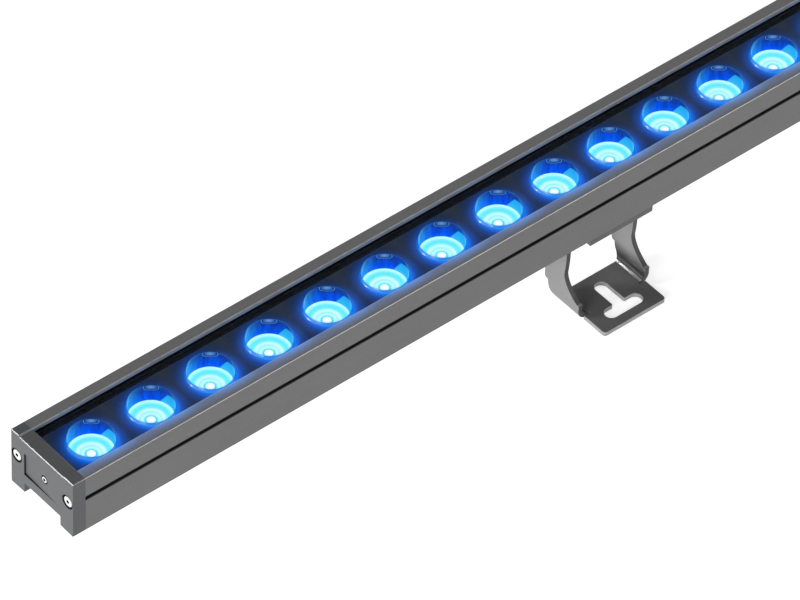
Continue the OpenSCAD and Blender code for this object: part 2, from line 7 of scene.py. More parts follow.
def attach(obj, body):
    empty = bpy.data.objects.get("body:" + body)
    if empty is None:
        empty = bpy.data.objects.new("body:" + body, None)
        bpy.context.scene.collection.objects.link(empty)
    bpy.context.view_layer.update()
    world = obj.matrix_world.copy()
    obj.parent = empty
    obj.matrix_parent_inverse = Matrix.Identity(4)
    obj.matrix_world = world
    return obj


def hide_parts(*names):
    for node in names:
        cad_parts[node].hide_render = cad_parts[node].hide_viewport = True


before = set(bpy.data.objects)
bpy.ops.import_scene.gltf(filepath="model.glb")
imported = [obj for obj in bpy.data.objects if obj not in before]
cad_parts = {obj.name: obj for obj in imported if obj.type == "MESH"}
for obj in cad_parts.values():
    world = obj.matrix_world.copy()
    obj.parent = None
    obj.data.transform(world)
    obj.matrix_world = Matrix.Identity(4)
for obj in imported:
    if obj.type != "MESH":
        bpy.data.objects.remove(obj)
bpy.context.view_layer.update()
print("frame loaded:", len(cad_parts), "nodes")

mm = 0.001


def colour(hexText, alpha=1.0):
    # sRGB hex to Blender's linear colour
    parts = [int(hexText[i:i + 2], 16) / 255 for i in (1, 3, 5)]
    linear = [c / 12.92 if c <= 0.04045 else ((c + 0.055) / 1.055) ** 2.4 for c in parts]
    return (*linear, alpha)


def addNode(tree, kind, settings=None, links=None):
    # settings hold properties or input values; links go from an input to an output socket
    node = tree.nodes.new(kind)
    for key, value in (settings or {}).items():
        if isinstance(key, str) and hasattr(node, key):
            setattr(node, key, value)
        else:
            node.inputs[key].default_value = value
    for key, socket in (links or {}).items():
        tree.links.new(socket, node.inputs[key])
    return node


def newMaterial(name):
    # the material, its tree, and the socket that takes its surface
    material = bpy.data.materials.new(name)
    material.use_nodes = True
    tree = material.node_tree
    tree.nodes.clear()
    return material, tree, addNode(tree, "ShaderNodeOutputMaterial").inputs["Surface"]


def setRamp(ramp, stops):
    elements = ramp.color_ramp.elements
    while len(elements) > 1:
        elements.remove(elements[-1])
    elements[0].position, elements[0].color = stops[0]
    for position, stopColour in stops[1:]:
        elements.new(position).color = stopColour


# camera: a long lens from the photo's height and side
camera = {
    "aim": Vector((-0.25201, 0.032926, 0.0675)),
    "distance": 4.10839,
    "azimuth": 41.1935,
    "elevation": 44.7757,
    "roll": 2.0761,
    "lens": 333.7,
}


def makeCamera():
    azimuth, elevation, roll = (math.radians(camera[k]) for k in ("azimuth", "elevation", "roll"))
    right = Vector((math.cos(azimuth), -math.sin(azimuth), 0))
    forward = Vector((math.sin(azimuth) * math.cos(elevation),
                      math.cos(azimuth) * math.cos(elevation), -math.sin(elevation)))
    up = right.cross(forward)
    tiltedRight = right * math.cos(roll) + up * math.sin(roll)
    tiltedUp = up * math.cos(roll) - right * math.sin(roll)
    data = bpy.data.cameras.new("photoCamera")
    data.lens = camera["lens"]
    data.sensor_width = 36
    data.sensor_fit = "HORIZONTAL"
    data.clip_end = 50
    holder = bpy.data.objects.new("photoCamera", data)
    bpy.context.scene.collection.objects.link(holder)
    turn = Matrix((tiltedRight, tiltedUp, -forward)).transposed().to_4x4()
    holder.matrix_world = Matrix.Translation(camera["aim"] - forward * camera["distance"]) @ turn
    bpy.context.scene.camera = holder


makeCamera()
print("camera placed")

# where the lenses and the brackets stand, as in the CAD
lensRow = {"count": 24, "first": -471.5 * mm, "pitch": 41 * mm, "middle": 29.6 * mm}
bracketMiddle = 112.5 * mm


def lensPlace(tree):
    # metres along and across from the nearest lens axis, and the height
    place = addNode(tree, "ShaderNodeTexCoord").outputs["Object"]
    split = addNode(tree, "ShaderNodeSeparateXYZ", links={0: place})
    half = lensRow["pitch"] / 2
    along = addNode(tree, "ShaderNodeMath", {"operation": "SUBTRACT", 1: lensRow["first"]},
                    {0: split.outputs["X"]})
    along = addNode(tree, "ShaderNodeMath", {"operation": "WRAP", 1: half, 2: -half},
                    {0: along.outputs[0]})
    across = addNode(tree, "ShaderNodeMath", {"operation": "SUBTRACT", 1: lensRow["middle"]},
                     {0: split.outputs["Y"]})
    return along.outputs[0], across.outputs[0], split.outputs["Z"]


def distanceFromLens(tree):
    # metres from the nearest lens axis, the height, and the place across
    along, across, height = lensPlace(tree)
    flat = addNode(tree, "ShaderNodeCombineXYZ", {}, {"X": along, "Y": across})
    length = addNode(tree, "ShaderNodeVectorMath", {"operation": "LENGTH"}, {0: flat.outputs[0]})
    return length.outputs["Value"], height, across


def mottle(tree, size, detail, stops):
    # a mottled pattern of a real size: its strength, and its colour between the stops
    place = addNode(tree, "ShaderNodeTexCoord").outputs["Object"]
    noise = addNode(tree, "ShaderNodeTexNoise", {"Scale": 1 / size, "Detail": detail},
                    {"Vector": place})
    tint = addNode(tree, "ShaderNodeValToRGB", {}, {"Fac": noise.outputs["Fac"]})
    setRamp(tint, stops)
    return noise.outputs["Fac"], tint.outputs["Color"]


# powder coat: its grit, where painted shade and a painted reflection darken it, and where it takes
# the lenses' blue light
coat = {
    "grit": 0.7 * mm, "bump": 0.3, "bumpHeight": 0.12 * mm, "cloud": 60 * mm,
    "grooveRoot": 26.1 * mm, "grooveMouth": 26.8 * mm,  # from the bar's middle
    "grooveLevel": (0.04, 0.8),
    "armInner": 23.56 * mm,  # from the bracket's middle
    "footLow": 6 * mm, "footHigh": 17 * mm, "footDark": 0.92,
    "plateTop": 3.04 * mm, "plateLevel": 0.62,
    "spillColour": colour("#3a88e2"),
    "spillReach": (29 * mm, 16 * mm),  # from a lens axis
    "spillFrom": 0.3, "spillHeight": (98 * mm, 103 * mm),
    "lipHeight": (106.6 * mm, 107.2 * mm), "lipLevel": 0.16,
    "spillWidth": (26.6 * mm, 20 * mm),
}


def paintedGrooveShade(tree):
    # painted shade: the side grooves are lit at the mouth and painted black at the root
    _, across, _ = lensPlace(tree)
    width = addNode(tree, "ShaderNodeMath", {"operation": "ABSOLUTE"}, {0: across})
    low, high = coat["grooveLevel"]
    root = addNode(tree, "ShaderNodeMapRange",
                   {"From Min": coat["grooveRoot"], "From Max": coat["grooveMouth"],
                    "To Min": low, "To Max": high}, {"Value": width.outputs[0]})
    return root.outputs[0]


def bracketPaintedReflectionAndShade(tree):
    # painted reflection: the inner faces of the bracket arms darken towards the bend, mirroring
    # the dark base plate
    place = addNode(tree, "ShaderNodeTexCoord").outputs["Object"]
    split = addNode(tree, "ShaderNodeSeparateXYZ", links={0: place})
    along = addNode(tree, "ShaderNodeMath", {"operation": "ABSOLUTE"}, {0: split.outputs["X"]})
    away = addNode(tree, "ShaderNodeMath", {"operation": "SUBTRACT", 1: bracketMiddle},
                   {0: along.outputs[0]})
    away = addNode(tree, "ShaderNodeMath", {"operation": "ABSOLUTE"}, {0: away.outputs[0]})
    inner = addNode(tree, "ShaderNodeMath", {"operation": "LESS_THAN", 1: coat["armInner"]},
                    {0: away.outputs[0]})
    foot = addNode(tree, "ShaderNodeMapRange",
                   {"interpolation_type": "SMOOTHSTEP", "From Min": coat["footLow"],
                    "From Max": coat["footHigh"], "To Min": coat["footDark"], "To Max": 0.0},
                   {"Value": split.outputs["Z"]})
    dark = addNode(tree, "ShaderNodeMath", {"operation": "MULTIPLY"},
                   {0: foot.outputs[0], 1: inner.outputs[0]})
    lit = addNode(tree, "ShaderNodeMath", {"operation": "SUBTRACT", 0: 1.0}, {1: dark.outputs[0]})
    # painted shade: the base plate's top is darker than the arms
    onPlate = addNode(tree, "ShaderNodeMath", {"operation": "LESS_THAN", 1: coat["plateTop"]},
                      {0: split.outputs["Z"]})
    level = addNode(tree, "ShaderNodeMapRange", {"To Max": coat["plateLevel"]},
                    {"Value": onPlate.outputs[0], "To Min": lit.outputs[0]})
    return level.outputs[0]


def rimSpill(tree, spill):
    # blue light that the lens collars throw on the near rim and on the far rim's inner lip
    radius, height, across = distanceFromLens(tree)
    near = addNode(tree, "ShaderNodeMapRange",
                   {"interpolation_type": "SMOOTHSTEP", "From Min": coat["spillReach"][0],
                    "From Max": coat["spillReach"][1], "To Min": coat["spillFrom"]},
                   {"Value": radius})
    high = addNode(tree, "ShaderNodeMapRange",
                   {"From Min": coat["spillHeight"][0], "From Max": coat["spillHeight"][1],
                    "To Max": spill}, {"Value": height})
    lip = addNode(tree, "ShaderNodeMapRange",
                  {"From Min": coat["lipHeight"][0], "From Max": coat["lipHeight"][1],
                   "To Min": coat["lipLevel"], "To Max": 0.0}, {"Value": height})
    nearSide = addNode(tree, "ShaderNodeMath", {"operation": "LESS_THAN", 1: 0.0}, {0: across})
    either = addNode(tree, "ShaderNodeMath", {"operation": "MAXIMUM"},
                     {0: lip.outputs[0], 1: nearSide.outputs[0]})
    # only between the two rims, never on the outer walls
    width = addNode(tree, "ShaderNodeMath", {"operation": "ABSOLUTE"}, {0: across})
    inner = addNode(tree, "ShaderNodeMapRange",
                    {"From Min": coat["spillWidth"][0], "From Max": coat["spillWidth"][1]},
                    {"Value": width.outputs[0]})
    glow = near
    for other in (high, either, inner):
        glow = addNode(tree, "ShaderNodeMath", {"operation": "MULTIPLY"},
                       {0: glow.outputs[0], 1: other.outputs[0]})
    return glow.outputs[0]


def powderCoat(name, base, roughness=0.46, spill=0.0, shade=None):
    # sand-textured polyester powder coat baked on metal: an even matt grey whose fine
    # grit breaks up the light; real grit is near 0.3 mm and is drawn coarser to show
    material, tree, surface = newMaterial(name)
    place = addNode(tree, "ShaderNodeTexCoord").outputs["Object"]
    grit = addNode(tree, "ShaderNodeTexNoise",
                   {"Scale": 1 / coat["grit"], "Detail": 3.0, "Roughness": 0.6},
                   {"Vector": place})
    tint = addNode(tree, "ShaderNodeValToRGB", {}, {"Fac": grit.outputs["Fac"]})
    dark = tuple(c * 0.9 for c in base[:3]) + (1,)
    light = tuple(c * 1.1 for c in base[:3]) + (1,)
    setRamp(tint, [(0.3, dark), (0.7, light)])
    _, cloud = mottle(tree, coat["cloud"], 2.0,
                      [(0.3, (0.94, 0.94, 0.95, 1)), (0.7, (1, 1, 1, 1))])
    mixed = addNode(tree, "ShaderNodeMix",
                    {"data_type": "RGBA", "blend_type": "MULTIPLY", 0: 1.0},
                    {6: tint.outputs["Color"], 7: cloud})
    if shade:
        level = shade(tree)
        level = addNode(tree, "ShaderNodeCombineColor", {},
                        {"Red": level, "Green": level, "Blue": level})
        mixed = addNode(tree, "ShaderNodeMix",
                        {"data_type": "RGBA", "blend_type": "MULTIPLY", 0: 1.0},
                        {6: mixed.outputs[2], 7: level.outputs[0]})
    rough = addNode(tree, "ShaderNodeMapRange",
                    {"To Min": roughness - 0.08, "To Max": roughness + 0.1},
                    {"Value": grit.outputs["Fac"]})
    height = addNode(tree, "ShaderNodeBump",
                     {"Strength": coat["bump"], "Distance": coat["bumpHeight"]},
                     {"Height": grit.outputs["Fac"]})
    shader = addNode(tree, "ShaderNodeBsdfPrincipled", {"Specular IOR Level": 0.3},
                     {"Base Color": mixed.outputs[2], "Roughness": rough.outputs[0],
                      "Normal": height.outputs["Normal"]})
    if spill:
        shader.inputs["Emission Color"].default_value = coat["spillColour"]
        tree.links.new(rimSpill(tree, spill), shader.inputs["Emission Strength"])
    tree.links.new(shader.outputs[0], surface)
    return material


def paintedEdgeHighlight(name, base, metal):
    # a painted highlight on chosen edges: a paler coat than the faces, shinier and partly metal,
    # so that it also mirrors the narrow lamps
    material, tree, surface = newMaterial(name)
    dark = tuple(c * 0.75 for c in base[:3]) + (1,)
    edgeMottle, tint = mottle(tree, 3 * mm, 3.0, [(0.3, dark), (0.7, base)])
    rough = addNode(tree, "ShaderNodeMapRange", {"To Min": 0.28, "To Max": 0.42},
                    {"Value": edgeMottle})
    shader = addNode(tree, "ShaderNodeBsdfPrincipled", {"Metallic": metal},
                     {"Base Color": tint, "Roughness": rough.outputs[0]})
    tree.links.new(shader.outputs[0], surface)
    return material


def turnedSteel(name, base, smooth, rough):
    # turned steel: bright where it is polished, with fine rings that soften its mirror
    material, tree, surface = newMaterial(name)
    place = addNode(tree, "ShaderNodeTexCoord").outputs["Object"]
    streak = addNode(tree, "ShaderNodeTexNoise", {"Scale": 1 / (0.6 * mm), "Detail": 2.0},
                     {"Vector": place})
    spread = addNode(tree, "ShaderNodeMapRange", {"To Min": smooth, "To Max": rough},
                     {"Value": streak.outputs["Fac"]})
    shader = addNode(tree, "ShaderNodeBsdfPrincipled", {"Base Color": base, "Metallic": 1.0},
                     {"Roughness": spread.outputs[0]})
    tree.links.new(shader.outputs[0], surface)
    return material


def siliconeRubber():
    # moulded silicone rubber: near black and dull, with a faint bloom
    material, tree, surface = newMaterial("mouldedSiliconeRubber")
    _, tint = mottle(tree, 2.5 * mm, 4.0, [(0.35, colour("#030304")), (0.7, colour("#070708"))])
    shader = addNode(tree, "ShaderNodeBsdfPrincipled",
                     {"Roughness": 0.75, "Specular IOR Level": 0.08}, {"Base Color": tint})
    tree.links.new(shader.outputs[0], surface)
    return material


def blackNylon():
    # moulded black nylon: a fine spark-eroded grain with a soft shine
    material, tree, surface = newMaterial("mouldedBlackNylon")
    grain, tint = mottle(tree, 0.5 * mm, 3.0, [(0.3, colour("#1a1b1d")), (0.7, colour("#26272a"))])
    height = addNode(tree, "ShaderNodeBump", {"Strength": 0.3, "Distance": 0.05 * mm},
                     {"Height": grain})
    shader = addNode(tree, "ShaderNodeBsdfPrincipled", {"Roughness": 0.42},
                     {"Base Color": tint, "Normal": height.outputs["Normal"]})
    tree.links.new(shader.outputs[0], surface)
    return material


# painted blue light round each lens on the plate, by the distance from the lens axis, fading to a
# dim glow
halo = {
    "from": 13.3 * mm, "to": 28.3 * mm,
    "lean": (-1.5 * mm, 2 * mm),  # it reaches further on the side of the near rim
    "leanWidth": 14 * mm,
    "colours": [(0.0, "#007af8"), (0.09, "#0062dc"), (0.2, "#0444a2"), (0.35, "#06347c"),
                (0.52, "#0c2752"), (0.71, "#182540"), (1.0, "#242b36")],
}


def paintedPlate():
    # satin dark paint on the aluminium lens plate, with painted blue light round each lens
    material, tree, surface = newMaterial("satinPaintedPlate")
    radius, _, across = distanceFromLens(tree)
    _, tint = mottle(tree, 1.2 * mm, 3.0, [(0.3, colour("#2c3036")), (0.7, colour("#33373d"))])
    lean = addNode(tree, "ShaderNodeMapRange",
                   {"From Min": -halo["leanWidth"], "From Max": halo["leanWidth"],
                    "To Min": halo["lean"][0], "To Max": halo["lean"][1]}, {"Value": across})
    reach = addNode(tree, "ShaderNodeMath", {"operation": "ADD"},
                    {0: radius, 1: lean.outputs[0]})
    share = addNode(tree, "ShaderNodeMapRange",
                    {"From Min": halo["from"], "From Max": halo["to"]},
                    {"Value": reach.outputs[0]})
    glow = addNode(tree, "ShaderNodeValToRGB", {}, {"Fac": share.outputs[0]})
    setRamp(glow, [(position, colour(h)) for position, h in halo["colours"]])
    shader = addNode(tree, "ShaderNodeBsdfPrincipled",
                     {"Roughness": 0.5, "Specular IOR Level": 0.08, "Emission Strength": 1.0},
                     {"Base Color": tint, "Emission Color": glow.outputs["Color"]})
    tree.links.new(shader.outputs[0], surface)
    return material


def throughLight(tree, shader):
    # clear parts let lamp light through: only what the eye sees is refracted or glossy
    path = addNode(tree, "ShaderNodeLightPath")
    either = addNode(tree, "ShaderNodeMath", {"operation": "MAXIMUM"},
                     {0: path.outputs["Is Shadow Ray"], 1: path.outputs["Is Diffuse Ray"]})
    clear = addNode(tree, "ShaderNodeBsdfTransparent")
    return addNode(tree, "ShaderNodeMixShader", {},
                   {0: either.outputs[0], 1: shader, 2: clear.outputs[0]}).outputs[0]


def toughenedGlass():
    # low-iron toughened glass with an anti-reflective surface: clear, with a faint shine
    material, tree, surface = newMaterial("toughenedGlass")
    glass = addNode(tree, "ShaderNodeBsdfPrincipled",
                    {"Base Color": colour("#fafdfd"), "Roughness": 0.0, "IOR": 1.5,
                     "Transmission Weight": 1.0, "Specular IOR Level": 0.12})
    tree.links.new(throughLight(tree, glass.outputs[0]), surface)
    return material


def lensClear():
    # moulded clear acrylic: the flat crown of the lens, clean, with a thin gloss
    material, tree, surface = newMaterial("mouldedClearAcrylic")
    gloss = addNode(tree, "ShaderNodeBsdfPrincipled",
                    {"Base Color": colour("#eef9ff"), "Roughness": 0.03, "IOR": 1.01,
                     "Transmission Weight": 1.0})
    tree.links.new(throughLight(tree, gloss.outputs[0]), surface)
    return material


# how a lens is lit: heights, distances from its axis, and angles round it in degrees
lensLook = {
    "collarLit": (96 * mm, 101 * mm), "collarClear": (98.3 * mm, 98.9 * mm),
    "rimCover": (0.04, 0.7),
    "cupHeight": (88 * mm, 100.5 * mm),
    "streak": 2.2 * mm, "streakStretch": 0.2, "streakLevel": 0.55,
    "patchSlant": (34, 9), "patchSlantTop": 0.7, "patchSoft": 3, "patchLevel": 0.9,
    "patchEnd": (-120, -70),
    "browTurn": (9, -41), "browHeight": (0.7, 0.88), "browSoft": 0.05,
    "nearTurn": (66, 128), "nearLevel": 0.95, "nearFade": (0.1, 0.3),
    "discTurn": 52, "discHalf": 20, "discHeight": (96.4 * mm, 101.8 * mm), "discLevel": 0.9,
    "floorRadius": 14 * mm, "spotEdge": (3.0 * mm, 2.3 * mm), "floorLevel": (1.12, 1.22),
    "chipRadius": 2.5 * mm,
}


def lensCollar():
    # the collar's outer wall: its foot glows blue against the plate, and above it is clear
    material, tree, surface = newMaterial("clearAcrylicCollar")
    place = addNode(tree, "ShaderNodeTexCoord").outputs["Object"]
    split = addNode(tree, "ShaderNodeSeparateXYZ", links={0: place})
    low, high = lensLook["collarLit"]
    share = addNode(tree, "ShaderNodeMapRange", {"From Min": low, "From Max": high},
                    {"Value": split.outputs["Z"]})
    lit = addNode(tree, "ShaderNodeValToRGB", {}, {"Fac": share.outputs[0]})
    setRamp(lit, [(0.0, colour("#007af8")), (0.4, colour("#0a84ff")), (0.6, colour("#1ea4ff")),
                  (0.8, colour("#2a9cff")), (1.0, colour("#4cc2ff"))])
    low, high = lensLook["collarClear"]
    body = addNode(tree, "ShaderNodeMapRange",
                   {"From Min": low, "From Max": high, "To Min": 0.9, "To Max": 0.12},
                   {"Value": split.outputs["Z"]})
    facing = addNode(tree, "ShaderNodeNewGeometry").outputs["Backfacing"]
    front = addNode(tree, "ShaderNodeMath", {"operation": "SUBTRACT", 0: 1.0}, {1: facing})
    cover = addNode(tree, "ShaderNodeMath", {"operation": "MULTIPLY"},
                    {0: body.outputs[0], 1: front.outputs[0]})
    skin = addNode(tree, "ShaderNodeBsdfPrincipled",
                   {"Base Color": colour("#0a2a5a"), "Roughness": 0.2, "Emission Strength": 0.9},
                   {"Emission Color": lit.outputs["Color"]})
    clear = addNode(tree, "ShaderNodeBsdfTransparent")
    both = addNode(tree, "ShaderNodeMixShader", {},
                   {0: cover.outputs[0], 1: clear.outputs[0], 2: skin.outputs[0]})
    tree.links.new(throughLight(tree, both.outputs[0]), surface)
    return material


def lensRim():
    # the rounded edge of the crown, which pipes the blue light out as a thin bright line;
    # it shows on the far side of the lens, seen from inside, and hardly on the near side
    material, tree, surface = newMaterial("acrylicRimLit")
    _, lit = mottle(tree, 4 * mm, 2.0, [(0.35, colour("#2b98ff")), (0.65, colour("#6cd2ff"))])
    shader = addNode(tree, "ShaderNodeBsdfPrincipled",
                     {"Base Color": colour("#0a2a5a"), "Roughness": 0.12,
                      "Emission Strength": 0.8}, {"Emission Color": lit})
    clear = addNode(tree, "ShaderNodeBsdfTransparent")
    facing = addNode(tree, "ShaderNodeNewGeometry").outputs["Backfacing"]
    low, high = lensLook["rimCover"]
    cover = addNode(tree, "ShaderNodeMapRange", {"To Min": low, "To Max": high},
                    {"Value": facing})
    both = addNode(tree, "ShaderNodeMixShader", {},
                   {0: cover.outputs[0], 1: clear.outputs[0], 2: shader.outputs[0]})
    tree.links.new(throughLight(tree, both.outputs[0]), surface)
    return material


def lensWall():
    # the polished cup inside the lens: a deep blue mirror of the lit floor with a painted
    # reflection glowing on it, paler on the side towards the far end of the bar, and clear from
    # outside
    material, tree, surface = newMaterial("acrylicCupPaintedReflection")
    look = {key: [math.radians(angle) for angle in lensLook[key]]
            for key in ("patchSlant", "patchEnd", "browTurn", "nearTurn")}
    along, across, height = lensPlace(tree)
    low, high = lensLook["cupHeight"]
    rise = addNode(tree, "ShaderNodeMapRange", {"From Min": low, "From Max": high},
                   {"Value": height})
    turn = addNode(tree, "ShaderNodeMath", {"operation": "ARCTAN2"}, {0: across, 1: along})
    # fine streaks run up the wall in the painted reflection
    place = addNode(tree, "ShaderNodeTexCoord").outputs["Object"]
    streakPlace = addNode(tree, "ShaderNodeMapping",
                          {"Scale": (1, 1, lensLook["streakStretch"])}, {"Vector": place})
    streak = addNode(tree, "ShaderNodeTexNoise",
                     {"Scale": 1 / lensLook["streak"], "Detail": 4.0},
                     {"Vector": streakPlace.outputs[0]})
    waver = addNode(tree, "ShaderNodeMapRange",
                    {"To Min": -lensLook["streakLevel"], "To Max": lensLook["streakLevel"]},
                    {"Value": streak.outputs["Fac"]})
    streaked = addNode(tree, "ShaderNodeMath", {"operation": "ADD"},
                       {0: rise.outputs[0], 1: waver.outputs[0]})
    deep = addNode(tree, "ShaderNodeValToRGB", {}, {"Fac": streaked.outputs[0]})
    setRamp(deep, [(0.0, colour("#0a6cff")), (0.3, colour("#0054ee")), (0.55, colour("#0a46c8")),
                   (0.8, colour("#0b3290")), (1.0, colour("#143f96"))])
    # the painted reflection's pale patch ends on a slanting line up the wall
    slant = addNode(tree, "ShaderNodeMapRange",
                    {"From Max": lensLook["patchSlantTop"], "To Min": look["patchSlant"][0],
                     "To Max": look["patchSlant"][1], "clamp": False},
                    {"Value": rise.outputs[0]})
    ahead = addNode(tree, "ShaderNodeMath", {"operation": "SUBTRACT"},
                    {0: slant.outputs[0], 1: turn.outputs[0]})
    patch = addNode(tree, "ShaderNodeMapRange",
                    {"From Max": math.radians(lensLook["patchSoft"]),
                     "To Max": lensLook["patchLevel"]}, {"Value": ahead.outputs[0]})
    end = addNode(tree, "ShaderNodeMapRange",
                  {"interpolation_type": "SMOOTHSTEP", "From Min": look["patchEnd"][0],
                   "From Max": look["patchEnd"][1]}, {"Value": turn.outputs[0]})
    # and under a brow, which rises towards the lens's side
    low, high = lensLook["browHeight"]
    brow = addNode(tree, "ShaderNodeMapRange",
                   {"From Min": look["browTurn"][0], "From Max": look["browTurn"][1],
                    "To Min": low, "To Max": high, "clamp": False}, {"Value": turn.outputs[0]})
    below = addNode(tree, "ShaderNodeMath", {"operation": "SUBTRACT"},
                    {0: brow.outputs[0], 1: rise.outputs[0]})
    below = addNode(tree, "ShaderNodeMapRange", {"From Max": lensLook["browSoft"]},
                    {"Value": below.outputs[0]})
    for other in (end, below):
        patch = addNode(tree, "ShaderNodeMath", {"operation": "MULTIPLY"},
                        {0: patch.outputs[0], 1: other.outputs[0]})
    pale = addNode(tree, "ShaderNodeValToRGB", {}, {"Fac": rise.outputs[0]})
    setRamp(pale, [(0.0, colour("#44d2ff")), (0.6, colour("#24b8ff")), (1.0, colour("#1888ee"))])
    withPatch = addNode(tree, "ShaderNodeMix", {"data_type": "RGBA"},
                        {0: patch.outputs[0], 6: deep.outputs["Color"], 7: pale.outputs["Color"]})
    # the painted reflection brightens softly on the side towards the near end
    near = addNode(tree, "ShaderNodeMapRange",
                   {"interpolation_type": "SMOOTHSTEP", "From Min": look["nearTurn"][0],
                    "From Max": look["nearTurn"][1], "To Max": lensLook["nearLevel"]},
                   {"Value": turn.outputs[0]})
    low, high = lensLook["nearFade"]
    fade = addNode(tree, "ShaderNodeMapRange", {"From Min": low, "To Min": 1.0, "To Max": high},
                   {"Value": streaked.outputs[0]})
    near = addNode(tree, "ShaderNodeMath", {"operation": "MULTIPLY"},
                   {0: near.outputs[0], 1: fade.outputs[0]})
    withNear = addNode(tree, "ShaderNodeMix", {"data_type": "RGBA", 7: colour("#34b4ff")},
                       {0: near.outputs[0], 6: withPatch.outputs[2]})
    # it shows a painted reflection of the chip's dome, as a dull disc in a dark and a white ring
    middle, half = lensLook["discTurn"], lensLook["discHalf"]
    turned = addNode(tree, "ShaderNodeMapRange",
                     {"From Min": math.radians(middle - half),
                      "From Max": math.radians(middle + half), "To Min": -1.0, "clamp": False},
                     {"Value": turn.outputs[0]})
    low, high = lensLook["discHeight"]
    lifted = addNode(tree, "ShaderNodeMapRange",
                     {"From Min": low, "From Max": high, "To Min": -1.0, "clamp": False},
                     {"Value": height})
    flat = addNode(tree, "ShaderNodeCombineXYZ", {},
                   {"X": turned.outputs[0], "Y": lifted.outputs[0]})
    reach = addNode(tree, "ShaderNodeVectorMath", {"operation": "LENGTH"}, {0: flat.outputs[0]})
    disc = addNode(tree, "ShaderNodeValToRGB", {}, {"Fac": reach.outputs["Value"]})
    setRamp(disc, [(0.0, colour("#7aa8d4")), (0.5, colour("#4672b0")), (0.7, colour("#2c5298")),
                   (0.78, colour("#071a42")), (0.86, colour("#071a42")), (0.92, colour("#6fb0f4")),
                   (1.0, colour("#0a46c8"))])
    within = addNode(tree, "ShaderNodeMapRange",
                     {"From Min": 1.0, "From Max": 0.94, "To Max": lensLook["discLevel"]},
                     {"Value": reach.outputs["Value"]})
    withDisc = addNode(tree, "ShaderNodeMix", {"data_type": "RGBA"},
                       {0: within.outputs[0], 6: withNear.outputs[2], 7: disc.outputs["Color"]})
    inside = addNode(tree, "ShaderNodeBsdfPrincipled",
                     {"Base Color": colour("#0a1e48"), "Metallic": 1.0, "Roughness": 0.06,
                      "Emission Strength": 1.0}, {"Emission Color": withDisc.outputs[2]})
    outside = addNode(tree, "ShaderNodeBsdfTransparent")
    facing = addNode(tree, "ShaderNodeNewGeometry").outputs["Backfacing"]
    both = addNode(tree, "ShaderNodeMixShader", {},
                   {0: facing, 1: inside.outputs[0], 2: outside.outputs[0]})
    tree.links.new(throughLight(tree, both.outputs[0]), surface)
    return material


def lensFloor():
    # the stepped optic under the lens, lit from below: a white spot in cyan and pale rings
    material, tree, surface = newMaterial("steppedOpticLit")
    radius, _, _ = distanceFromLens(tree)
    share = addNode(tree, "ShaderNodeMapRange", {"From Max": lensLook["floorRadius"]},
                    {"Value": radius})
    rings = addNode(tree, "ShaderNodeValToRGB", {}, {"Fac": share.outputs[0]})
    white, pale, cyan, edge = (colour(h) for h in ("#ffffff", "#d4fffe", "#84f6fe", "#b4ffff"))
    setRamp(rings, [(0.0, white), (0.16, colour("#e8ffff")), (0.205, colour("#2fc0f2")),
                    (0.26, cyan), (0.33, pale), (0.43, colour("#98f9ff")),
                    (0.5, colour("#d4ffff")), (0.57, pale), (0.62, cyan),
                    (0.72, colour("#62ecfc")), (0.82, cyan), (0.86, edge),
                    (0.9, colour("#c4ffff"))])
    outer, inner = lensLook["spotEdge"]
    low, high = lensLook["floorLevel"]
    power = addNode(tree, "ShaderNodeMapRange",
                    {"From Min": outer, "From Max": inner, "To Min": low, "To Max": high},
                    {"Value": radius})
    shader = addNode(tree, "ShaderNodeBsdfPrincipled",
                     {"Base Color": colour("#05202a"), "Roughness": 0.3},
                     {"Emission Color": rings.outputs["Color"],
                      "Emission Strength": power.outputs[0]})
    tree.links.new(shader.outputs[0], surface)
    return material


def whiteBoard():
    # white solder mask on an aluminium circuit board, faintly glossy, lit blue by its chips
    material, tree, surface = newMaterial("whiteSolderMask")
    _, tint = mottle(tree, 8 * mm, 2.0, [(0.3, colour("#dcdcd8")), (0.7, colour("#e6e6e3"))])
    shader = addNode(tree, "ShaderNodeBsdfPrincipled", {"Roughness": 0.35}, {"Base Color": tint})
    tree.links.new(shader.outputs[0], surface)
    return material


def lightChip():
    # domed light-emitting chip: glossy clear resin, lit pale blue
    material, tree, surface = newMaterial("lightChipResin")
    radius, _, _ = distanceFromLens(tree)
    share = addNode(tree, "ShaderNodeMapRange", {"From Max": lensLook["chipRadius"]},
                    {"Value": radius})
    lit = addNode(tree, "ShaderNodeValToRGB", {}, {"Fac": share.outputs[0]})
    setRamp(lit, [(0.0, colour("#f4ffff")), (1.0, colour("#2f9dff"))])
    shader = addNode(tree, "ShaderNodeBsdfPrincipled",
                     {"Base Color": colour("#6fb8ff"), "Roughness": 0.15,
                      "Emission Strength": 1.0}, {"Emission Color": lit.outputs["Color"]})
    tree.links.new(shader.outputs[0], surface)
    return material


